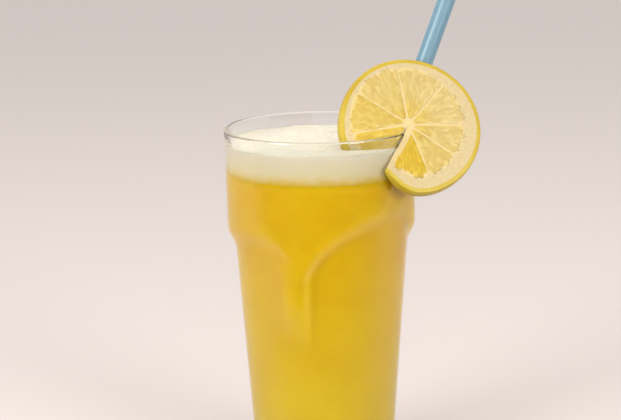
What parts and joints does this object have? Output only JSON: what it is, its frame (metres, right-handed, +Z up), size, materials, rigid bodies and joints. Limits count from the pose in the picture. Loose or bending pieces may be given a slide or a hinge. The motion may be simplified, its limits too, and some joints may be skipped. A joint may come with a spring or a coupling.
{
  "type": "daiquiri",
  "caption": "Yellow daiquiri with a foam head in a tall pressed tumbler, with a lemon slice on the rim and a pale blue straw.",
  "frame": {"origin": "centre of the glass's base, on the surface it stands on", "axes": "+Z up along the glass's axis, -Y to the front, +X to the side where the slice and the straw are"},
  "size_m": [0.1045, 0.0796, 0.2121],
  "materials": {
    "clear_glass": "clear pressed glass, polished",
    "yellow_drink": "cloudy yellow citrus drink",
    "cream_foam": "fine wet cream-white foam",
    "lemon": "wet lemon flesh, white pith and waxy yellow rind",
    "straw_plastic": "pale blue translucent polypropylene"
  },
  "bodies": {
    "root": {"glass": "clear_glass", "drink": "yellow_drink", "foam": "cream_foam", "lemon_slice": "lemon", "straw": "straw_plastic"}
  },
  "joints": []
}
